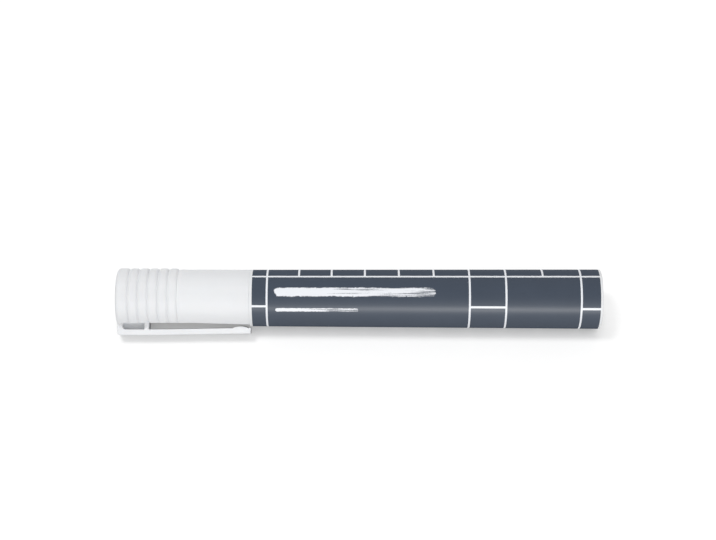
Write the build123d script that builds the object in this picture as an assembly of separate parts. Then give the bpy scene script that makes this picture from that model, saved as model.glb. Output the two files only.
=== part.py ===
from build123d import *
import math
import os

# A capped paint-type marker lying on its side. All sizes are in millimetres.
# The pieces are made about the X axis with x = 0 at the barrel's front rim and the
# rear end towards +X, then moved together onto the surface that the marker lies on.

# Barrel: a moulded tube that widens to the rear
barrel_length = 96.7
barrel_front_d = 15.75
barrel_widening = 0.8
barrel_wall = 0.95
rim_wall = 1.125
rim_round = 0.03
pocket_lead_in = 0.25
web_thick = 1.6
pocket_end_gap = 0.4

# Printed film let into the barrel's outside
film_thick = 0.12
film_margin = 0.82

# Rear plug
flange_thick = 0.7
flange_round = 0.2
plug_skirt_length = 5.2
plug_skirt_wall = 1.0
plug_floor = 1.6
plug_step = 0.12
plug_lead_in = 0.3
plug_end_gap = 0.2
gate_d = 5.0
gate_depth = 0.2

# Nose that holds the nib; reaches are measured forward from the barrel's front rim
nose_reach = 17.85
nose_tube_d = 7.3
nose_tube_reach = 10.5
flare_step = 0.2
flare_reach = 6.85
shoulder_step = 0.525
shoulder_reach = 4.6
seat_reach = 3.9
nose_lip_round = 0.3
tail_wall = 1.2
tail_length = 4.0

# Fibre nib: a straight shaft, then a long ogive that ends in a small round tip
nib_d = 4.75
nib_show = 6.65
nib_ogive = 5.15
nib_tip_r = 1.4
nib_chamfer = 0.3
nib_clear = 0.06
nib_travel = 2.5
nib_stop_gap = 0.1

# Valve behind the nib
housing_wall = 0.8
septum_thick = 1.0
housing_port_width = 1.8
housing_port_length = 2.2
housing_ports = 4
ink_hole_d = 3.2
seal_thick = 0.8
pin_d = 2.3
head_d = 5.4
head_thick = 1.2
rod_d = 1.8
rod_clear = 0.1
rod_spare = 2.3
spring_room = 10.2
spring_wire = 0.45
spring_d = 3.5
spring_turns = 6
spring_end_gap = 0.03
retainer_thick = 1.2
retainer_step = 0.2
retainer_port_d = 0.9
retainer_ports = 6

# Loose mixing ball in the ink chamber
ball_d = 6.0
ball_clear = 0.1
ball_end_gap = 0.3

# Cap shell with finger ribs and a clip moulded in one with it
cap_length = 36.8
cap_end_wall = 1.4
cap_end_round = 1.0
cap_mouth_gap = 0.02
cap_mouth_round = 0.03
cap_gate_d = 3.0
cap_gate_depth = 0.25
rib_count = 6
rib_first = 3.4
rib_pitch = 2.73
rib_height = 0.3
rib_notch = 0.2
rib_shoulder = 0.9

# Clip, and the flat that the cap has under it
clip_width = 5.0
clip_bar_thick = 1.6
clip_root_gap = 1.92
clip_tip_gap = 0.97
clip_past_mouth = 0.25
clip_end_wall = 1.5
clip_corner_round = 0.9
clip_edge_round = 0.4
clip_slot_start = 8.8
clip_bridge = 1.2
clip_web_thick = 1.4
clip_bump_height = 0.5
clip_bump_length = 4.2
clip_bump_back = 2.6
flat_wall = 0.5
flat_rise = 0.4
flat_rise_length = 15.0
clip_rest_gap = 0.02

# Thin liner cup inside the cap, whose collar slides into the barrel's front pocket
collar_length = 3.6
collar_wall = 0.75
collar_clear = 0.1
collar_step = 0.25
seat_clear = 0.075
liner_floor = 0.7
liner_end_gap = 1.0

# A round takes at most this share of the wall that it is cut from
round_share = 0.9

# Edges this close to a place count as lying there
near = 1e-4

# Sizes that follow from the ones above
front_r = barrel_front_d / 2
rear_r = front_r + barrel_widening / 2
pocket_r = front_r - rim_wall
collar_outer_r = pocket_r - collar_clear
collar_inner_r = collar_outer_r - collar_wall
seat_r = collar_inner_r - seat_clear
pocket_depth = collar_length + pocket_end_gap
web_back = pocket_depth + web_thick
tail_end = web_back + tail_length
nib_r = nib_d / 2
nib_reach = nose_reach + nib_show
nib_back = tail_end - nib_stop_gap - nib_travel
nib_bore_r = nib_r + nib_clear
tail_r = nib_bore_r + tail_wall
housing_r = tail_r + housing_wall
seal_front = tail_end + septum_thick
head_front = seal_front + seal_thick
head_back = head_front + head_thick
retainer_front = head_back + spring_room
housing_end = retainer_front + retainer_thick
rod_end = retainer_front - rod_spare
plug_seat = barrel_length - plug_skirt_length - plug_end_gap
plug_front = barrel_length - plug_skirt_length
cap_bore_r = collar_outer_r - collar_step
flat_height = cap_bore_r + flat_wall
flat_mouth_height = flat_height + flat_rise
clip_root_height = flat_height + clip_root_gap + clip_bar_thick
clip_tip_height = flat_mouth_height + clip_tip_gap + clip_bar_thick


def barrel_radius(x):
    return front_r + (rear_r - front_r) * x / barrel_length


def chamber_radius(x):
    return barrel_radius(x) - film_thick - barrel_wall


plug_r = chamber_radius(plug_seat) + plug_step
plug_inner_r = plug_r - plug_skirt_wall


def turned(points):
    """Solid turned about the X axis from its half outline of (x, radius) points."""
    return revolve(make_face(Polyline(*points, close=True)), Axis.X)


def turned_outline(edges):
    """Solid turned about the X axis from the edges of its half outline."""
    return revolve(make_face(edges), Axis.X)


def rings(part, x, radius):
    """Circular edges of a turned piece at one place along X and one radius."""
    return [
        e
        for e in part.edges().filter_by(GeomType.CIRCLE)
        if abs(e.arc_center.X - x) < near and abs(e.radius - radius) < near
    ]


def barrel():
    """Tube with a film recess, a front pocket, a web that carries the nose and a plug seat."""
    tube = turned(
        [
            (0, pocket_r),
            (0, front_r),
            (film_margin, barrel_radius(film_margin)),
            (film_margin, barrel_radius(film_margin) - film_thick),
            (barrel_length, rear_r - film_thick),
            (barrel_length, plug_r),
            (plug_seat, plug_r),
            (plug_seat, chamber_radius(plug_seat)),
            (web_back, chamber_radius(web_back)),
            (web_back, tail_r),
            (pocket_depth, tail_r),
            (pocket_depth, pocket_r),
        ]
    )
    tube = fillet(rings(tube, 0, front_r), min(rim_round, film_margin / 2))
    return chamfer(rings(tube, 0, pocket_r), pocket_lead_in)


def barrel_film():
    """Thin printed film, flush with the bare rim in front of it."""
    return turned(
        [
            (film_margin, barrel_radius(film_margin) - film_thick),
            (film_margin, barrel_radius(film_margin)),
            (barrel_length, rear_r),
            (barrel_length, rear_r - film_thick),
        ]
    )


def rear_plug():
    """Cup-shaped plug whose flange closes the barrel, with a shallow gate recess behind."""
    back = barrel_length + flange_thick
    plug = turned(
        [
            (plug_front, plug_inner_r),
            (plug_front, plug_r),
            (barrel_length, plug_r),
            (barrel_length, rear_r),
            (back, rear_r),
            (back, gate_d / 2),
            (back - gate_depth, gate_d / 2),
            (back - gate_depth, 0),
            (back - plug_floor, 0),
            (back - plug_floor, plug_inner_r),
        ]
    )
    plug = fillet(rings(plug, back, rear_r), min(flange_round, round_share * flange_thick))
    return chamfer(rings(plug, plug_front, plug_r), plug_lead_in)


def nib_holder():
    """Stepped nose with a flared neck and a seat for the cap's collar; its tail goes through the web."""
    tube_r = nose_tube_d / 2
    shoulder_r = seat_r - shoulder_step
    neck_start = (-nose_tube_reach, tube_r)
    neck_end = (-flare_reach, shoulder_r - flare_step)
    outline = [
        Line((-nose_reach, nib_bore_r), (-nose_reach, tube_r)),
        Line((-nose_reach, tube_r), neck_start),
        TangentArc(neck_start, neck_end, tangent=(1, 0)),
        Polyline(
            neck_end,
            (-shoulder_reach, shoulder_r),
            (-seat_reach, seat_r),
            (pocket_depth, seat_r),
            (pocket_depth, tail_r),
            (tail_end, tail_r),
            (tail_end, nib_bore_r),
            (-nose_reach, nib_bore_r),
        ),
    ]
    nose = turned_outline(outline)
    return fillet(rings(nose, -nose_reach, tube_r), nose_lip_round)


def nib():
    """Fibre rod; the ogive's arc is tangent to the shaft and to the round tip."""
    tip = -nib_reach
    shaft_start = tip + nib_ogive
    to_tip_centre = nib_ogive - nib_tip_r
    side_r = (to_tip_centre**2 + nib_r**2 - nib_tip_r**2) / (2 * (nib_r - nib_tip_r))
    turn = math.atan2(side_r - nib_r, to_tip_centre)
    join = (tip + nib_tip_r - nib_tip_r * math.cos(turn), nib_tip_r * math.sin(turn))
    half = turn / 2
    tip_middle = (tip + nib_tip_r - nib_tip_r * math.cos(half), nib_tip_r * math.sin(half))
    outline = [
        ThreePointArc((tip, 0), tip_middle, join),
        TangentArc((shaft_start, nib_r), join, tangent=(-1, 0)),
        Polyline((shaft_start, nib_r), (nib_back, nib_r), (nib_back, 0), (tip, 0)),
    ]
    rod = turned_outline(outline)
    return chamfer(rings(rod, nib_back, nib_r), nib_chamfer)


def valve_housing():
    """Sleeve pushed over the nose's tail against the web, with a septum, side ports and an end seat."""
    seat = tail_r + retainer_step
    sleeve = turned(
        [
            (web_back, tail_r),
            (web_back, housing_r),
            (housing_end, housing_r),
            (housing_end, seat),
            (retainer_front, seat),
            (retainer_front, tail_r),
            (seal_front, tail_r),
            (seal_front, ink_hole_d / 2),
            (tail_end, ink_hole_d / 2),
            (tail_end, tail_r),
        ]
    )
    port_middle = (head_back + retainer_front) / 2
    port = Pos(port_middle, 0, housing_r) * Box(housing_port_length, housing_port_width, housing_r)
    for i in range(housing_ports):
        sleeve -= Rot(360 / housing_ports * i, 0, 0) * port
    return sleeve


def valve_seal():
    """Soft washer against the back of the housing's septum."""
    return turned(
        [
            (seal_front, ink_hole_d / 2),
            (seal_front, tail_r),
            (head_front, tail_r),
            (head_front, ink_hole_d / 2),
        ]
    )


def valve_stem():
    """Plunger: a pin that meets the nib, a sealing head and a guide rod inside the spring."""
    return turned(
        [
            (nib_back, 0),
            (nib_back, pin_d / 2),
            (head_front, pin_d / 2),
            (head_front, head_d / 2),
            (head_back, head_d / 2),
            (head_back, rod_d / 2),
            (rod_end, rod_d / 2),
            (rod_end, 0),
        ]
    )


def spring_retainer():
    """Disc at the housing's end: guides the rod, carries the spring and lets ink in."""
    outer_r = tail_r + retainer_step
    guide_r = rod_d / 2 + rod_clear
    disc = turned(
        [
            (retainer_front, guide_r),
            (retainer_front, outer_r),
            (housing_end, outer_r),
            (housing_end, guide_r),
        ]
    )
    port_circle_r = (spring_d / 2 + spring_wire / 2 + outer_r) / 2
    port = Rot(0, 90, 0) * Cylinder(retainer_port_d / 2, 2 * retainer_thick)
    middle = (retainer_front + housing_end) / 2
    for i in range(retainer_ports):
        disc -= Rot(360 / retainer_ports * i, 0, 0) * Pos(middle, port_circle_r, 0) * port
    return disc


def spring_points(count):
    """Points and directions along the spring's helix, in the quarter turns that count gives."""
    start = head_back + spring_wire / 2 + spring_end_gap
    rise = retainer_front - spring_wire / 2 - spring_end_gap - start
    radius = spring_d / 2
    lead = rise / (2 * math.pi * spring_turns)
    points = []
    for k in range(count + 1):
        angle = 2 * math.pi * spring_turns * k / count
        y = radius * math.cos(angle)
        z = radius * math.sin(angle)
        points.append((Vector(start + rise * k / count, y, z), Vector(lead, -z, y).normalized()))
    return points


def valve_spring():
    """Coil of round wire, swept along pairs of tangent arcs, two for each quarter turn."""
    stations = spring_points(4 * spring_turns)
    arcs = []
    for (p0, t0), (p1, t1) in zip(stations, stations[1:]):
        chord = p1 - p0
        along = chord.dot(t0 + t1)
        spread = 2 * (1 - t0.dot(t1))
        reach = (math.sqrt(along**2 + spread * chord.dot(chord)) - along) / spread
        q0 = p0 + t0 * reach
        q1 = p1 - t1 * reach
        middle = (q0 + q1) * 0.5
        arcs.append(Edge.make_tangent_arc(p0, t0, middle))
        arcs.append(Edge.make_tangent_arc(middle, q1 - q0, p1))
    section = Plane(origin=stations[0][0], z_dir=stations[0][1]) * Circle(spring_wire / 2)
    return sweep(section, path=Wire(arcs))


def spring_gap():
    """Least gap between neighbouring turns, measured on points of the helix."""
    per_turn = 24
    points = [p for p, _ in spring_points(per_turn * spring_turns)]
    far = per_turn // 2
    least = min((q - p).length for i, p in enumerate(points) for q in points[i + far :])
    return least - spring_wire


def mixing_ball():
    """Ball lying on the chamber's lower wall, against the rear plug's skirt."""
    ball_r = ball_d / 2
    front_stop = housing_end + ball_r + ball_end_gap
    narrowest = min(chamber_radius(front_stop), chamber_radius(plug_front))
    drop = narrowest - ball_r - ball_clear
    under_skirt = max(ball_r**2 - (plug_inner_r - drop) ** 2, 0)
    rest_x = plug_front - math.sqrt(under_skirt) - ball_end_gap
    print(f"ball rests at x {rest_x:.3f}, can roll to x {front_stop:.3f}")
    return Pos(rest_x, 0, -drop) * Sphere(ball_r)


def cap_body():
    """Round of the cap: closed end, finger ribs and a plain skirt flush with the barrel."""
    end = -cap_length
    mouth = -cap_mouth_gap
    crest_r = front_r + rib_height
    notch_r = front_r - rib_notch
    notches = [end + rib_first + rib_pitch * i for i in range(rib_count)]
    gate_r = cap_gate_d / 2
    shoulder = (end + cap_end_round, crest_r)
    corner = cap_end_round * (1 - math.sqrt(0.5))
    first_crest = (notches[0] - rib_shoulder, crest_r)
    last_notch = (notches[-1], notch_r)
    skirt_start = (notches[-1] + rib_shoulder, front_r)
    outline = [
        Polyline(
            (end + cap_gate_depth, 0),
            (end + cap_gate_depth, gate_r),
            (end, gate_r),
            (end, crest_r - cap_end_round),
        ),
        ThreePointArc((end, crest_r - cap_end_round), (end + corner, crest_r - corner), shoulder),
        Line(shoulder, first_crest),
        TangentArc(first_crest, (notches[0], notch_r), tangent=(1, 0)),
        TangentArc(skirt_start, last_notch, tangent=(-1, 0)),
        Polyline(skirt_start, (mouth, front_r), (mouth, 0), (end + cap_gate_depth, 0)),
    ]
    for a, b in zip(notches, notches[1:]):
        crest_from = (a + rib_shoulder, crest_r)
        crest_to = (b - rib_shoulder, crest_r)
        outline += [
            TangentArc(crest_from, (a, notch_r), tangent=(-1, 0)),
            Line(crest_from, crest_to),
            TangentArc(crest_to, (b, notch_r), tangent=(1, 0)),
        ]
    body = turned_outline(outline)
    return fillet(rings(body, mouth, front_r), cap_mouth_round)


def clip_flat():
    """Block whose inner face is the flat along the cap's clip side, rising to the mouth."""
    deep = 2 * clip_root_height
    face = make_face(
        Polyline(
            (-cap_length + clip_end_wall, -flat_height),
            (-flat_rise_length, -flat_height),
            (0, -flat_mouth_height),
            (0, -deep),
            (-cap_length + clip_end_wall, -deep),
            close=True,
        )
    )
    return extrude(face, barrel_front_d, both=True)


def clip_pocket():
    """Blind pocket in one side of the clip's root, rounded at its outer end."""
    left = -cap_length + clip_end_wall
    right = -cap_length + clip_slot_start - clip_bridge
    low = -(clip_root_height - clip_bar_thick)
    face = make_face(
        Polyline((left, -flat_height), (right, -flat_height), (right, low), (left, low), close=True)
    )
    ends = face.vertices().sort_by(Axis.X)[:2]
    face = fillet(ends, round_share * clip_root_gap / 2)
    depth = (clip_width - clip_web_thick) / 2
    return Pos(0, 0, clip_web_thick / 2) * extrude(face, depth + clip_edge_round)


def clip():
    """End wall, pocketed web, bridge and sprung bar of the clip, pointing to -Y."""
    end = -cap_length
    slot = -cap_length + clip_slot_start
    tip = clip_past_mouth
    inner_root = -(clip_root_height - clip_bar_thick)
    inner_tip = -(clip_tip_height - clip_bar_thick)
    inside = -cap_bore_r
    slope = (inner_tip - inner_root) / (tip - slot)
    bump = -clip_bump_back
    bump_from = bump - clip_bump_length / 2
    bump_to = bump + clip_bump_length / 2

    def inner(x):
        return inner_root + slope * (x - slot)

    edges = [
        Polyline(
            (bump_from, inner(bump_from)),
            (slot, inner_root),
            (slot, inside),
            (end, inside),
            (end, -clip_root_height),
            (slot, -clip_root_height),
            (tip, -clip_tip_height),
            (tip, inner_tip),
            (bump_to, inner(bump_to)),
        ),
        ThreePointArc(
            (bump_to, inner(bump_to)),
            (bump, inner(bump) + clip_bump_height),
            (bump_from, inner(bump_from)),
        ),
    ]
    face = make_face(edges)
    outer_corner = face.vertices().sort_by(Axis.X)[:2].sort_by(Axis.Y)[:1]
    face = fillet(outer_corner, clip_corner_round)
    solid = extrude(face, clip_width / 2, both=True)
    outside = [
        e
        for e in solid.edges()
        if abs(abs(e.center().Z) - clip_width / 2) < near
        and e.center().Y < inner_tip - clip_bar_thick / 2
    ]
    return fillet(outside, clip_edge_round)


def clip_roll():
    """Angle below level at which the clip's edge and the barrel both meet the surface."""
    up = clip_root_height - clip_edge_round
    across = clip_width / 2 - clip_edge_round
    drop = rear_r - clip_rest_gap - clip_edge_round
    lean = math.asin(min(drop / math.hypot(up, across), 1))
    return math.degrees(lean - math.atan2(across, up))


def cap_shell():
    """Cap body with its flat, clip and bore, rolled so that the clip meets the surface."""
    pocket = clip_pocket()
    shell = cap_body() - clip_flat()
    shell += clip() - pocket - mirror(pocket, about=Plane.XY)
    bore_end = -cap_length + cap_end_wall
    shell -= turned(
        [
            (bore_end, 0),
            (bore_end, cap_bore_r),
            (collar_length, cap_bore_r),
            (collar_length, 0),
        ]
    )
    return Rot(clip_roll(), 0, 0) * shell


def cap_liner():
    """Cup pressed into the cap, closed beyond the nib, with a collar that leaves the mouth."""
    mouth = -cap_mouth_gap
    back = -cap_length + cap_end_wall + liner_end_gap
    return turned(
        [
            (collar_length, collar_inner_r),
            (collar_length, collar_outer_r),
            (mouth, collar_outer_r),
            (mouth, cap_bore_r),
            (back, cap_bore_r),
            (back, 0),
            (back + liner_floor, 0),
            (back + liner_floor, collar_inner_r),
        ]
    )


pieces = {
    "barrel": barrel(),
    "barrel_film": barrel_film(),
    "rear_plug": rear_plug(),
    "nib_holder": nib_holder(),
    "nib": nib(),
    "valve_housing": valve_housing(),
    "valve_seal": valve_seal(),
    "valve_stem": valve_stem(),
    "valve_spring": valve_spring(),
    "spring_retainer": spring_retainer(),
    "mixing_ball": mixing_ball(),
    "cap_shell": cap_shell(),
    "cap_liner": cap_liner(),
}

# The origin is under the middle of the lying marker, on the surface that it lies on
box = Compound(children=[p.solids()[0] for p in pieces.values()]).bounding_box()
ground = Pos(-box.center().X, -box.center().Y, -box.min.Z)

os.makedirs("parts", exist_ok=True)
for name, piece in pieces.items():
    export_step(ground * piece, f"parts/{name}.step")

rim = ground.position
print(f"front rim at x {rim.X:.4f}, axis at y {rim.Y:.4f}, z {rim.Z:.4f}")
print(f"size {box.size.X:.3f} x {box.size.Y:.3f} x {box.size.Z:.3f}")
print(f"clip points {clip_roll():.3f} degrees below level")
print(f"least gap between spring turns {spring_gap():.3f}")
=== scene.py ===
import bpy
import bmesh
import math
from mathutils import Matrix, Vector


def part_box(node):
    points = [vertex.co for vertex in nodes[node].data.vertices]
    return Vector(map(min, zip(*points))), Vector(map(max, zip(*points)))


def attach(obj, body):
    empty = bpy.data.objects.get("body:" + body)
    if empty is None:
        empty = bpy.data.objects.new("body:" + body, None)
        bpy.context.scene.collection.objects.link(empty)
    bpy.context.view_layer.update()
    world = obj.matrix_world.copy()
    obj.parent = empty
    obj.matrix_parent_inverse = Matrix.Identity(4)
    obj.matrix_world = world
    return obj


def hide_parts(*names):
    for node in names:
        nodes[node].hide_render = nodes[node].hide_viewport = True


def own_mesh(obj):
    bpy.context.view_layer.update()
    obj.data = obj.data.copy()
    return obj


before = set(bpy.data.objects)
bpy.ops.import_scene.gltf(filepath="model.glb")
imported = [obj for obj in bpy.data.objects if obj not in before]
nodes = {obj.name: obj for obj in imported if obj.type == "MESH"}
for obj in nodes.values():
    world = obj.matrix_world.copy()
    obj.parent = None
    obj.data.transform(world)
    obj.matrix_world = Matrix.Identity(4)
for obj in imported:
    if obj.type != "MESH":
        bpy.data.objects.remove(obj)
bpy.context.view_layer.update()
mm = 0.001

# the marker's own axis, and where its barrel starts along x
barrelLow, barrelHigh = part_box("barrel")
axisY = (barrelLow.y + barrelHigh.y) / 2
axisZ = (barrelLow.z + barrelHigh.z) / 2
rimX = barrelLow.x
barrelRadius = (barrelHigh.z - barrelLow.z) / 2

# degrees round the axis, counted from the low side, where the barrel turns out of the photograph's sight
lowestTurn = -90
fullTurn = 360

# noise textures: where most of their values lie, and how many finer layers they get
noiseMost = (0.3, 0.7)
plainDetail = 2
richDetail = 3


# node helpers: sockets or plain values go in, the first output comes out
def feed(tree, socket, value):
    if isinstance(value, bpy.types.NodeSocket):
        tree.links.new(value, socket)
    else:
        socket.default_value = value


def addNode(tree, kind, inputs=None, **settings):
    node = tree.nodes.new(kind)
    for key, value in settings.items():
        setattr(node, key, value)
    for key, value in (inputs or {}).items():
        feed(tree, node.inputs[key], value)
    return node


def calc(tree, operation, *values):
    return addNode(tree, "ShaderNodeMath", dict(enumerate(values)), operation=operation).outputs[0]


def spread(tree, value, fromLow, fromHigh, toLow, toHigh):
    given = {"Value": value, "From Min": fromLow, "From Max": fromHigh, "To Min": toLow, "To Max": toHigh}
    return addNode(tree, "ShaderNodeMapRange", given).outputs["Result"]


def varied(tree, texture, low, high):
    return spread(tree, texture, *noiseMost, low, high)


def swing(tree, texture, reach):
    return varied(tree, texture, -reach, reach)


def noise(tree, vector, scale, detail=plainDetail):
    given = {"Vector": vector, "Scale": scale, "Detail": detail}
    return addNode(tree, "ShaderNodeTexNoise", given).outputs["Fac"]


def streaks(tree, vector, stretch, detail=plainDetail):
    # noise with a scale of its own along each axis
    given = {0: vector, 1: stretch}
    drawn = addNode(tree, "ShaderNodeVectorMath", given, operation="MULTIPLY").outputs[0]
    return noise(tree, drawn, 1.0, detail)


def offCentre(tree, first, second):
    squares = calc(tree, "ADD", calc(tree, "POWER", first, 2), calc(tree, "POWER", second, 2))
    return calc(tree, "SQRT", squares)


def blendColours(tree, share, first, second):
    given = {0: share, 6: first, 7: second}    # the mix node's share and its two colours
    return addNode(tree, "ShaderNodeMix", given, data_type="RGBA").outputs[2]


def startMaterial(name, steady=None):
    # steady: the shader's sockets that keep one value all over
    material = bpy.data.materials.new(name)
    material.use_nodes = True
    tree = material.node_tree
    tree.nodes.clear()
    shader = addNode(tree, "ShaderNodeBsdfPrincipled", steady)
    addNode(tree, "ShaderNodeOutputMaterial", {"Surface": shader.outputs[0]})
    place = addNode(tree, "ShaderNodeTexCoord").outputs["Object"]
    return material, tree, shader, place


def surface(tree, shader, colour, rough):
    feed(tree, shader.inputs["Base Color"], colour)
    feed(tree, shader.inputs["Roughness"], rough)


def addBump(tree, shader, height, depth, strength):
    given = {"Height": height, "Distance": depth, "Strength": strength}
    feed(tree, shader.inputs["Normal"], addNode(tree, "ShaderNodeBump", given).outputs[0])


def linear(red, green, blue):
    # sRGB levels as a linear colour
    def one(level):
        share = level / 255
        return share / 12.92 if share < 0.04045 else ((share + 0.055) / 1.055) ** 2.4

    return (one(red), one(green), one(blue), 1)


def roundTheAxis(tree, place):
    # mm behind the barrel's rim, and degrees up from the side that the camera faces
    parts = addNode(tree, "ShaderNodeSeparateXYZ", {0: place}).outputs
    behind = calc(tree, "MULTIPLY", calc(tree, "SUBTRACT", parts[0], rimX), 1 / mm)
    forward = calc(tree, "SUBTRACT", axisY, parts[1])
    upward = calc(tree, "SUBTRACT", parts[2], axisZ)
    angle = calc(tree, "DEGREES", calc(tree, "ARCTAN2", upward, forward))
    raised = calc(tree, "SUBTRACT", angle, camera["elevation"])
    return behind, calc(tree, "WRAP", raised, lowestTurn + fullTurn, lowestTurn)


def degreesOf(width):
    return math.degrees(width * mm / barrelRadius)


def widthOf(tree, degrees):
    return calc(tree, "MULTIPLY", degrees, 1 / degreesOf(1))


# photograph's frame and where the marker lies in it
camera = {
    "elevation": 51.73,
    "distance": 476 * mm,
    "lens": 85.8,
    "sensor": 36.0,
    "besideMiddle": -0.3 * mm,         # the picture's middle, along the marker
    "aboveAxis": 7.91 * mm,            # the picture's middle, over the marker's axis
    "roll": 0.2,
    "nearest": 0.01,
    "farthest": 20,
}


def makeCamera():
    lean = math.radians(camera["elevation"])
    back = Vector((0, -math.cos(lean), math.sin(lean)))
    up = Vector((0, math.sin(lean), math.cos(lean)))
    target = Vector((camera["besideMiddle"], axisY, axisZ)) + up * camera["aboveAxis"]
    data = bpy.data.cameras.new("photoCamera")
    data.lens = camera["lens"]
    data.sensor_width = camera["sensor"]
    data.clip_start = camera["nearest"]
    data.clip_end = camera["farthest"]
    made = bpy.data.objects.new("photoCamera", data)
    bpy.context.scene.collection.objects.link(made)
    turned = back.to_track_quat("Z", "Y").to_matrix().to_4x4()
    roll = Matrix.Rotation(math.radians(camera["roll"]), 4, "Z")
    made.matrix_world = Matrix.Translation(target + back * camera["distance"]) @ turned @ roll
    bpy.context.scene.camera = made


makeCamera()
print("camera set")

# floor, lamps and world
studio = {
    "floorHalf": 3.0,
    "floorColour": (0.55, 0.55, 0.55, 1),
    "floorGlow": 0.55,
    "paintedShadeReach": 3.5 * mm,          # how far the painted shade round what touches the floor goes
    "glowLeftInPaintedShade": 0.42,               # share of the glow that is left right under it, where the painted shade is deepest
    "skyColour": (1, 1, 1, 1),
    "skyLight": 0.435,
}
lamps = {
    "leftSoftbox": {
        "place": (-0.25, -0.03, 0.76),
        "aim": (0, 0, 0),
        "size": (0.2, 0.2),
        "power": 2.4,
        "mirrored": False,             # kept out of reflections, so that the film shows one streak
    },
    "backPanel": {
        "place": (-0.05, 0.55, 0.4),
        "aim": (0, 0, 0.008),
        "size": (0.5, 0.2),
        "power": 0.87,
        "mirrored": False,
    },
    "frontStrip": {
        "place": (0.08, -0.62, 0.115),
        "aim": (0.05, 0, 0.008),
        "size": (0.34, 0.075),
        "power": 1.54,
        "mirrored": True,
    },
    "frontPanel": {
        "place": (0.1, -0.53, 0.37),
        "aim": (0.03, 0, 0.008),
        "size": (0.8, 0.26),
        "power": 0.41,
        "mirrored": True,
    },
}


def makeFloor():
    half = studio["floorHalf"]
    mesh = bpy.data.meshes.new("studioFloor")
    corners = [(-half, -half, 0), (half, -half, 0), (half, half, 0), (-half, half, 0)]
    mesh.from_pydata(corners, [], [(0, 1, 2, 3)])
    floor = bpy.data.objects.new("studioFloor", mesh)
    bpy.context.scene.collection.objects.link(floor)
    material = bpy.data.materials.new("whiteFloor")
    material.use_nodes = True
    tree = material.node_tree
    tree.nodes.clear()
    path = addNode(tree, "ShaderNodeLightPath").outputs
    shiny = calc(tree, "MAXIMUM", path["Is Glossy Ray"], path["Is Transmission Ray"])
    seen = calc(tree, "MAXIMUM", path["Is Camera Ray"], shiny)
    matte = addNode(tree, "ShaderNodeBsdfDiffuse", {"Color": studio["floorColour"]})
    # ambient occlusion darkens the floor's glow round what touches it: painted contact shade
    paintedContactShade = addNode(tree, "ShaderNodeAmbientOcclusion", {"Distance": studio["paintedShadeReach"]})
    shade = spread(tree, paintedContactShade.outputs["AO"], 0, 1, studio["glowLeftInPaintedShade"], 1)
    glowWithPaintedShade = calc(tree, "MULTIPLY", shade, studio["floorGlow"])
    glow = addNode(tree, "ShaderNodeEmission", {"Strength": calc(tree, "MULTIPLY", seen, glowWithPaintedShade)})
    both = addNode(tree, "ShaderNodeAddShader", {0: matte.outputs[0], 1: glow.outputs[0]})
    addNode(tree, "ShaderNodeOutputMaterial", {"Surface": both.outputs[0]})
    mesh.materials.append(material)


def makeLamps():
    for name, lamp in lamps.items():
        data = bpy.data.lights.new(name, "AREA")
        data.shape = "RECTANGLE"
        data.size, data.size_y = lamp["size"]
        data.energy = lamp["power"]
        made = bpy.data.objects.new(name, data)
        made.visible_glossy = lamp["mirrored"]
        made.location = lamp["place"]
        aim = Vector(lamp["aim"]) - made.location
        made.rotation_euler = aim.to_track_quat("-Z", "Y").to_euler()
        bpy.context.scene.collection.objects.link(made)


def makeWorld():
    world = bpy.data.worlds.new("paleStudio")
    world.use_nodes = True
    tree = world.node_tree
    tree.nodes.clear()
    given = {"Color": studio["skyColour"], "Strength": studio["skyLight"]}
    sky = addNode(tree, "ShaderNodeBackground", given)
    addNode(tree, "ShaderNodeOutputWorld", {"Surface": sky.outputs[0]})
    bpy.context.scene.world = world


makeFloor()
makeLamps()
makeWorld()
bpy.context.scene.view_settings.view_transform = "Standard"
print("studio set")

# white satin moulding of the cap, barrel, plug and nose
moulding = {
    "colour": (0.80, 0.81, 0.825, 1),
    "shade": (0.765, 0.775, 0.79, 1),
    "tintRange": (0.8, 1.3),           # of cloud and flow added up
    "rough": (0.44, 0.58),
    "grain": 2600,
    "grainHeight": 0.5,                # beside the parting line's height of 1
    "cloud": 90,
    "flow": (14, 240, 240),            # flow marks drawn out along the piece
    "partingTurn": 90,                 # degrees from the camera's side
    "partingApart": 180,               # one more line on the opposite side
    "partingWidth": 0.09,              # mm
    "bump": (0.02 * mm, 0.5),          # depth and strength, here and below
    "steady": {
        "Specular IOR Level": 0.35,
        "Subsurface Weight": 0.12,
        "Subsurface Radius": (1.0, 0.9, 0.8),
        "Subsurface Scale": 0.8 * mm,
    },
}


def makeMoulding(name, parted):
    material, tree, shader, place = startMaterial(name, moulding["steady"])
    cloud = noise(tree, place, moulding["cloud"], richDetail)
    grain = noise(tree, place, moulding["grain"])
    flow = streaks(tree, place, moulding["flow"], richDetail)
    tint = spread(tree, calc(tree, "ADD", cloud, flow), *moulding["tintRange"], 0, 1)
    colour = blendColours(tree, tint, moulding["colour"], moulding["shade"])
    surface(tree, shader, colour, varied(tree, grain, *moulding["rough"]))
    height = calc(tree, "MULTIPLY", grain, moulding["grainHeight"])
    if parted:
        turn = roundTheAxis(tree, place)[1]
        pastLine = calc(tree, "SUBTRACT", turn, moulding["partingTurn"])
        nearestLine = calc(tree, "PINGPONG", pastLine, moulding["partingApart"] / 2)
        ridge = spread(tree, widthOf(tree, nearestLine), 0, moulding["partingWidth"], 1, 0)
        height = calc(tree, "ADD", height, ridge)
    addBump(tree, shader, height, *moulding["bump"])
    return material


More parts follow.
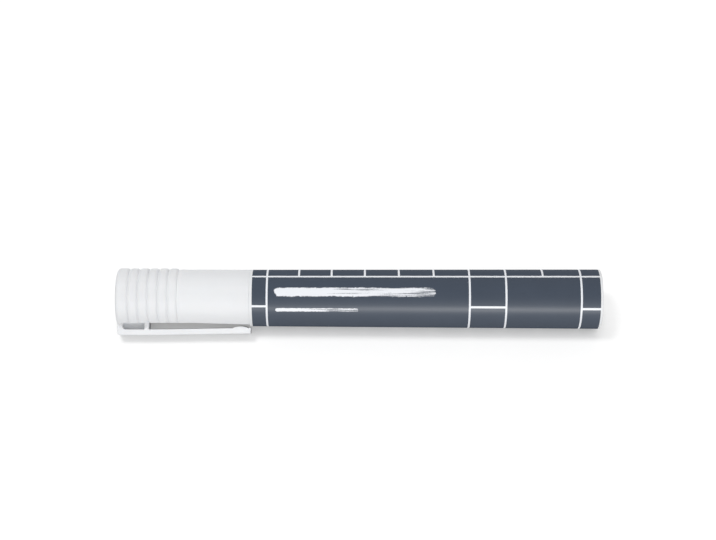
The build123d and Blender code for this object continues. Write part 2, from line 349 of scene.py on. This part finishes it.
# dark printed film: grid of thin pale lines and two chalky sample strokes, sizes in mm and degrees
printing = {
    "film": linear(66, 75, 89),
    "filmDeep": linear(61, 70, 83),
    "ink": (0.82, 0.84, 0.88, 1),
    "ringWidth": 0.53,
    "lineWidth": 0.62,
    "ringFirst": 4.94,
    "ringStep": 8.781,
    "ringGrowth": 0.1035,
    "rings": 10,
    "fullRings": (0, 6, 7, 9),         # the others run from the first long line to the last
    "longLines": (49.7, 121.7, 193.7, 265.7),
    "shortLines": (                    # from and to along the barrel, and the degrees up
        (0, 4.94, -15.8),
        (60.73, 70.75, -15.8),
        (91.42, 97, -18.5),
    ),
    "cloud": 140,
    "grain": 5200,
    "grainHeight": 0.25,               # beside the ink's height of 1
    "roughFilm": 0.5,
    "roughInk": 0.55,
    "roughSwing": 0.04,
    "lapTurn": 186.0,                  # the film's ends overlap at the back
    "lapWidth": 2.2,
    "bump": (0.008 * mm, 0.6),
    "steady": {                        # only the varnish shines
        "Specular IOR Level": 0.0,
        "Coat Weight": 0.1,
        "Coat Roughness": 0.37,
        "Coat IOR": 4.0,
    },
}
strokes = {
    "bold": {"from": 8.3, "to": 50.0, "turn": 13.5, "width": 2.5},
    "fine": {"from": 7.8, "to": 29.6, "turn": -23.0, "width": 1.0},
}
chalk = {
    "wobble": 700,                     # how fine the stroke's wavering edge is
    "wobbleShare": 0.1,                # of half the stroke's width
    "crumble": 3400,
    "crumbleShare": 0.14,
    "edge": (0.94, 1.04),              # where the chalk starts and ends to thin out
    "streak": (90, 1700, 1700),        # dry streaks drawn out along the stroke
    "grain": 6500,
    "grainSwing": 0.07,
    "dryness": (0.2, 0.5),             # at the stroke's start and end
    "soft": 0.1,
}


def ringPlaces():
    places = []
    for i in range(printing["rings"]):
        grown = printing["ringGrowth"] * i * (i - 1)
        places.append(printing["ringFirst"] + printing["ringStep"] * i + grown)
    return places


def either(tree, masks):
    joined = masks[0]
    for mask in masks[1:]:
        joined = calc(tree, "MAXIMUM", joined, mask)
    return joined


def between(tree, value, low, high):
    return calc(tree, "COMPARE", value, (low + high) / 2, (high - low) / 2)


def gridMask(tree, behind, turn):
    longLines = printing["longLines"]
    halfRing = printing["ringWidth"] / 2
    halfLine = degreesOf(printing["lineWidth"]) / 2
    overTop = between(tree, turn, longLines[0], longLines[-1])
    masks = []
    for i, ring in enumerate(ringPlaces()):
        band = calc(tree, "COMPARE", behind, ring, halfRing)
        masks.append(band if i in printing["fullRings"] else calc(tree, "MULTIPLY", band, overTop))
    for line in longLines:
        masks.append(calc(tree, "COMPARE", turn, line, halfLine))
    for low, high, line in printing["shortLines"]:
        short = calc(tree, "COMPARE", turn, line, halfLine)
        masks.append(calc(tree, "MULTIPLY", short, between(tree, behind, low, high)))
    return either(tree, masks)


def strokeMask(tree, place, behind, turn, stroke):
    # a round-ended stroke with rough edges that runs dry towards its end
    half = stroke["width"] / 2
    middle = (stroke["from"] + stroke["to"]) / 2
    reach = (stroke["to"] - stroke["from"]) / 2
    fromMiddle = calc(tree, "ABSOLUTE", calc(tree, "SUBTRACT", behind, middle))
    pastEnd = calc(tree, "MAXIMUM", calc(tree, "SUBTRACT", fromMiddle, reach), 0)
    aside = widthOf(tree, calc(tree, "SUBTRACT", turn, stroke["turn"]))
    wavering = swing(tree, noise(tree, place, chalk["wobble"]), chalk["wobbleShare"] * half)
    crumbs = swing(tree, noise(tree, place, chalk["crumble"], richDetail), chalk["crumbleShare"] * half)
    away = calc(tree, "ADD", offCentre(tree, pastEnd, aside), calc(tree, "ADD", wavering, crumbs))
    edgeStart, edgeEnd = chalk["edge"]
    inside = spread(tree, away, edgeStart * half, edgeEnd * half, 1, 0)
    grain = swing(tree, noise(tree, place, chalk["grain"]), chalk["grainSwing"])
    wet = calc(tree, "ADD", streaks(tree, place, chalk["streak"], richDetail), grain)
    dry = spread(tree, behind, stroke["from"], stroke["to"], *chalk["dryness"])
    cover = spread(tree, calc(tree, "SUBTRACT", wet, dry), -chalk["soft"], chalk["soft"], 0, 1)
    return calc(tree, "MULTIPLY", inside, cover)


def makeFilm():
    material, tree, shader, place = startMaterial("printedFilm", printing["steady"])
    behind, turn = roundTheAxis(tree, place)
    masks = [gridMask(tree, behind, turn)]
    masks += [strokeMask(tree, place, behind, turn, stroke) for stroke in strokes.values()]
    ink = either(tree, masks)
    cloud = noise(tree, place, printing["cloud"], richDetail)
    grain = noise(tree, place, printing["grain"])
    base = blendColours(tree, cloud, printing["film"], printing["filmDeep"])
    printed = spread(tree, ink, 0, 1, printing["roughFilm"], printing["roughInk"])
    rough = calc(tree, "ADD", printed, swing(tree, grain, printing["roughSwing"]))
    surface(tree, shader, blendColours(tree, ink, base, printing["ink"]), rough)
    lap = calc(tree, "COMPARE", turn, printing["lapTurn"], degreesOf(printing["lapWidth"]) / 2)
    raised = calc(tree, "MULTIPLY", grain, printing["grainHeight"])
    addBump(tree, shader, calc(tree, "ADD", raised, calc(tree, "ADD", ink, lap)), *printing["bump"])
    return material


def dress(material, *names):
    for name in names:
        slots = nodes[name].data.materials
        slots.clear()
        slots.append(material)


dress(makeMoulding("capMoulding", True), "cap_shell", "cap_liner")
dress(makeMoulding("bodyMoulding", False), "barrel", "rear_plug", "nib_holder")
dress(makeFilm(), "barrel_film")
print("mouldings and film dressed")

# pressed fibre nib: fine strands, gathered in bundles, run along it, with painted shade in the gaps
# between them
fibre = {
    "strand": (0.78, 0.785, 0.79, 1),
    "gap": (0.60, 0.61, 0.625, 1),
    "tintRange": (0.34, 0.66),
    "rough": (0.95, 0.8),
    "fine": (350, 11000, 11000),
    "fineShare": 0.6,
    "bundle": (120, 2600, 2600),
    "bundleShare": 0.4,
    "bump": (0.06 * mm, 0.6),
    "steady": {
        "Specular IOR Level": 0.2,
        "Sheen Weight": 0.15,
        "Sheen Roughness": 0.6,
    },
}


def makeFibre():
    material, tree, shader, place = startMaterial("nibFibre", fibre["steady"])
    fine = streaks(tree, place, fibre["fine"])
    bundle = streaks(tree, place, fibre["bundle"])
    fineHeight = calc(tree, "MULTIPLY", fine, fibre["fineShare"])
    strands = calc(tree, "ADD", fineHeight, calc(tree, "MULTIPLY", bundle, fibre["bundleShare"]))
    # the lower the strands, the more of the darker colour: painted shade between the strands
    tint = spread(tree, strands, *fibre["tintRange"], 1, 0)
    colour = blendColours(tree, tint, fibre["strand"], fibre["gap"])
    surface(tree, shader, colour, varied(tree, fine, *fibre["rough"]))
    addBump(tree, shader, strands, *fibre["bump"])
    return material


# natural unpainted plastic of the valve's small mouldings
natural = {
    "colour": (0.74, 0.74, 0.70, 1),
    "shade": (0.66, 0.66, 0.61, 1),
    "tintRange": (0.35, 0.7),
    "rough": (0.32, 0.46),
    "cloud": 420,
    "grain": 5200,
    "bump": (0.012 * mm, 0.5),
    "steady": {
        "Subsurface Weight": 0.3,
        "Subsurface Radius": (1.0, 0.95, 0.85),
        "Subsurface Scale": 1.2 * mm,
    },
}


def makeNatural():
    material, tree, shader, place = startMaterial("naturalPlastic", natural["steady"])
    cloud = noise(tree, place, natural["cloud"], richDetail)
    grain = noise(tree, place, natural["grain"])
    tint = spread(tree, cloud, *natural["tintRange"], 0, 1)
    colour = blendColours(tree, tint, natural["colour"], natural["shade"])
    surface(tree, shader, colour, varied(tree, grain, *natural["rough"]))
    addBump(tree, shader, grain, *natural["bump"])
    return material


# soft black washer with a talc bloom
rubber = {
    "colour": (0.045, 0.045, 0.05, 1),
    "bloom": (0.085, 0.085, 0.09, 1),
    "bloomPatches": 812.5,
    "bloomRange": (0.45, 0.75),
    "rough": (0.62, 0.85),
    "grain": 6500,
    "bump": (0.02 * mm, 0.6),
}


def makeRubber():
    material, tree, shader, place = startMaterial("sealRubber")
    grain = noise(tree, place, rubber["grain"], richDetail)
    patches = noise(tree, place, rubber["bloomPatches"], richDetail)
    bloom = spread(tree, patches, *rubber["bloomRange"], 0, 1)
    colour = blendColours(tree, bloom, rubber["colour"], rubber["bloom"])
    surface(tree, shader, colour, varied(tree, grain, *rubber["rough"]))
    addBump(tree, shader, grain, *rubber["bump"])
    return material


# polished ball, dulled by rolling in pigment
ball = {
    "bright": (0.70, 0.70, 0.71, 1),
    "dull": (0.56, 0.56, 0.57, 1),
    "rough": (0.1, 0.3),
    "patches": 700,
    "patchDetail": 4,
    "patchRange": (0.4, 0.7),
    "scratches": (900, 26000, 5200),
    "scratchRange": (0.62, 0.72),
    "bump": (0.002 * mm, 0.5),
    "steady": {"Metallic": 1.0},
}


def makeBallSteel():
    material, tree, shader, place = startMaterial("ballSteel", ball["steady"])
    blotches = noise(tree, place, ball["patches"], ball["patchDetail"])
    patches = spread(tree, blotches, *ball["patchRange"], 0, 1)
    scratch = spread(tree, streaks(tree, place, ball["scratches"]), *ball["scratchRange"], 0, 1)
    dull = calc(tree, "MAXIMUM", patches, scratch)
    colour = blendColours(tree, dull, ball["bright"], ball["dull"])
    surface(tree, shader, colour, spread(tree, dull, 0, 1, *ball["rough"]))
    addBump(tree, shader, scratch, *ball["bump"])
    return material


dress(makeFibre(), "nib")
dress(makeNatural(), "valve_housing", "valve_stem", "spring_retainer")
dress(makeRubber(), "valve_seal")
dress(makeBallSteel(), "mixing_ball")
print("nib, valve and ball dressed")

# valve spring: one coil of drawn wire between the stem's head and the retainer
coil = {
    "wire": 0.45 * mm,
    "turns": 6,
    "stepsPerTurn": 36,
    "sides": 14,
    "bright": (0.66, 0.66, 0.66, 1),
    "dark": (0.50, 0.50, 0.51, 1),
    "tintRange": (0.35, 0.65),
    "rough": (0.2, 0.36),
    "drawn": (40000, 40000, 3.0),      # die lines run along the wire
    "bump": (0.003 * mm, 0.5),
    "steady": {"Metallic": 1.0},
}
springLow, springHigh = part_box("valve_spring")
coilRadius = (springHigh.y - springLow.y - coil["wire"]) / 2
coilStart = springLow.x + coil["wire"] / 2
coilRise = springHigh.x - springLow.x - coil["wire"]


def makeSpringSteel():
    pitch = coilRise / coil["turns"]
    material, tree, shader, place = startMaterial("springSteel", coil["steady"])
    parts = addNode(tree, "ShaderNodeSeparateXYZ", {0: place}).outputs
    y = calc(tree, "SUBTRACT", parts[1], axisY)
    z = calc(tree, "SUBTRACT", parts[2], axisZ)
    angle = calc(tree, "ARCTAN2", z, y)
    turned = calc(tree, "DIVIDE", angle, 2 * math.pi)
    climbed = calc(tree, "DIVIDE", calc(tree, "SUBTRACT", parts[0], coilStart), pitch)
    offWire = calc(tree, "WRAP", calc(tree, "SUBTRACT", climbed, turned), 0.5, -0.5)    # in turns
    alongWire = {0: offCentre(tree, y, z), 1: calc(tree, "MULTIPLY", offWire, pitch), 2: angle}
    lines = streaks(tree, addNode(tree, "ShaderNodeCombineXYZ", alongWire).outputs[0], coil["drawn"])
    tint = spread(tree, lines, *coil["tintRange"], 0, 1)
    colour = blendColours(tree, tint, coil["bright"], coil["dark"])
    surface(tree, shader, colour, varied(tree, lines, *coil["rough"]))
    addBump(tree, shader, lines, *coil["bump"])
    return material


def makeSpring():
    steps = coil["turns"] * coil["stepsPerTurn"]
    half = coil["wire"] / 2
    lead = coilRise / (2 * math.pi * coil["turns"])
    made = bmesh.new()
    rounds = []
    for k in range(steps + 1):
        angle = 2 * math.pi * coil["turns"] * k / steps
        outward = Vector((0, math.cos(angle), math.sin(angle)))
        along = Vector((lead, -coilRadius * outward.z, coilRadius * outward.y)).normalized()
        side = along.cross(outward)
        centre = Vector((coilStart + coilRise * k / steps, axisY, axisZ)) + outward * coilRadius
        section = []
        for i in range(coil["sides"]):
            a = 2 * math.pi * i / coil["sides"]
            section.append(made.verts.new(centre + (outward * math.cos(a) + side * math.sin(a)) * half))
        rounds.append(section)
    for first, second in zip(rounds, rounds[1:]):
        for i in range(coil["sides"]):
            j = (i + 1) % coil["sides"]
            made.faces.new((first[i], first[j], second[j], second[i]))
    made.faces.new(rounds[0][::-1])
    made.faces.new(rounds[-1])
    bmesh.ops.recalc_face_normals(made, faces=made.faces)
    mesh = bpy.data.meshes.new("springCoil")
    made.to_mesh(mesh)
    made.free()
    for face in mesh.polygons:
        face.use_smooth = len(face.vertices) == 4    # the wire's round side, not its two ends
    mesh.materials.append(makeSpringSteel())
    spring = bpy.data.objects.new("springCoil", mesh)
    bpy.context.scene.collection.objects.link(spring)
    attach(spring, "barrel")
    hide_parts("valve_spring")
    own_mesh(spring)


makeSpring()
print("spring coiled")
